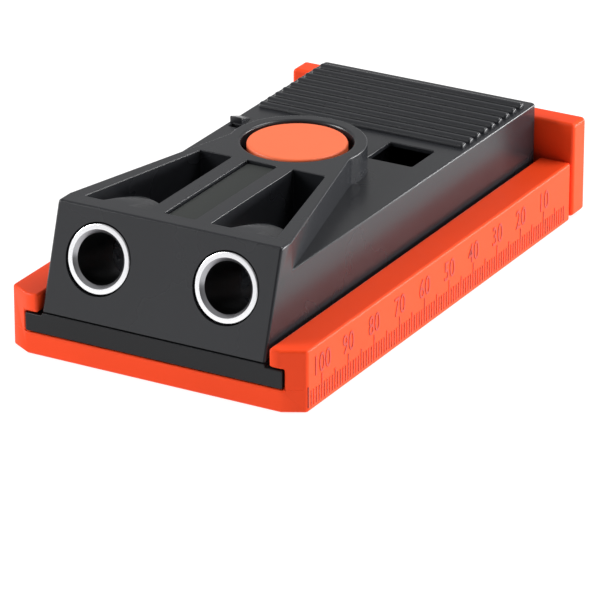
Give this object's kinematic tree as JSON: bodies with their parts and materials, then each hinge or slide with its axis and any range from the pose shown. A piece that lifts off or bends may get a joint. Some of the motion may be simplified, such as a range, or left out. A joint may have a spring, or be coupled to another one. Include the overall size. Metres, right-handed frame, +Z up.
{
  "type": "pocket hole drilling jig",
  "caption": "Sliding angled drilling jig: a black body with steel drill sleeves and a round release button runs in an orange base tray with a rear fence and a millimetre scale.",
  "frame": {"origin": "on the resting surface, under the middle of the whole jig with its body pushed back to the fence", "axes": "+Y towards the rear fence, +Z up, +X to the right when facing +Y; the drill mouths face -Y"},
  "size_m": [0.0648, 0.1152, 0.0298],
  "materials": {
    "tray": "orange moulded plastic, fine satin grain",
    "fence": "orange moulded plastic, satin",
    "lock_rail": "drawn steel bar",
    "screw": "zinc-plated steel",
    "shell": "black glass-filled plastic, satin",
    "slide_plate": "black plastic, low-friction grade",
    "sleeve": "hardened steel, ground faces",
    "inlay": "dark grey-green strip, matt",
    "guide": "turned brass",
    "spring": "spring steel wire",
    "button": "orange plastic, smooth",
    "stem": "ground steel",
    "clip": "spring steel sheet",
    "shoe": "steel plate"
  },
  "bodies": {
    "base": {"base_tray": "tray", "rear_fence": "fence", "lock_rail": "lock_rail", "fence_screw_left": "screw", "fence_screw_right": "screw", "rail_screw_front": "screw", "rail_screw_rear": "screw"},
    "jig_body": {"jig_shell": "shell", "slide_plate": "slide_plate", "drill_sleeve_left": "sleeve", "drill_sleeve_right": "sleeve", "top_inlay": "inlay", "stem_guide": "guide", "plate_screw_front_left": "screw", "plate_screw_front_right": "screw", "plate_screw_rear_left": "screw", "plate_screw_rear_right": "screw", "button_spring": "spring"},
    "release_button": {"release_button": "button", "button_stem": "stem", "stem_clip": "clip", "lock_shoe": "shoe", "shoe_screw": "screw"}
  },
  "joints": [
    {"name": "body_slide", "type": "slide", "parent": "base", "child": "jig_body", "axis": [0, -1, 0], "range_m": [0, 0.038]},
    {"name": "button_press", "type": "slide", "parent": "jig_body", "child": "release_button", "axis": [0, 0, -1], "range_m": [0, 0.002], "stiffness_N_per_m": 600, "springref_m": -0.004, "deforming": ["button_spring"]}
  ]
}
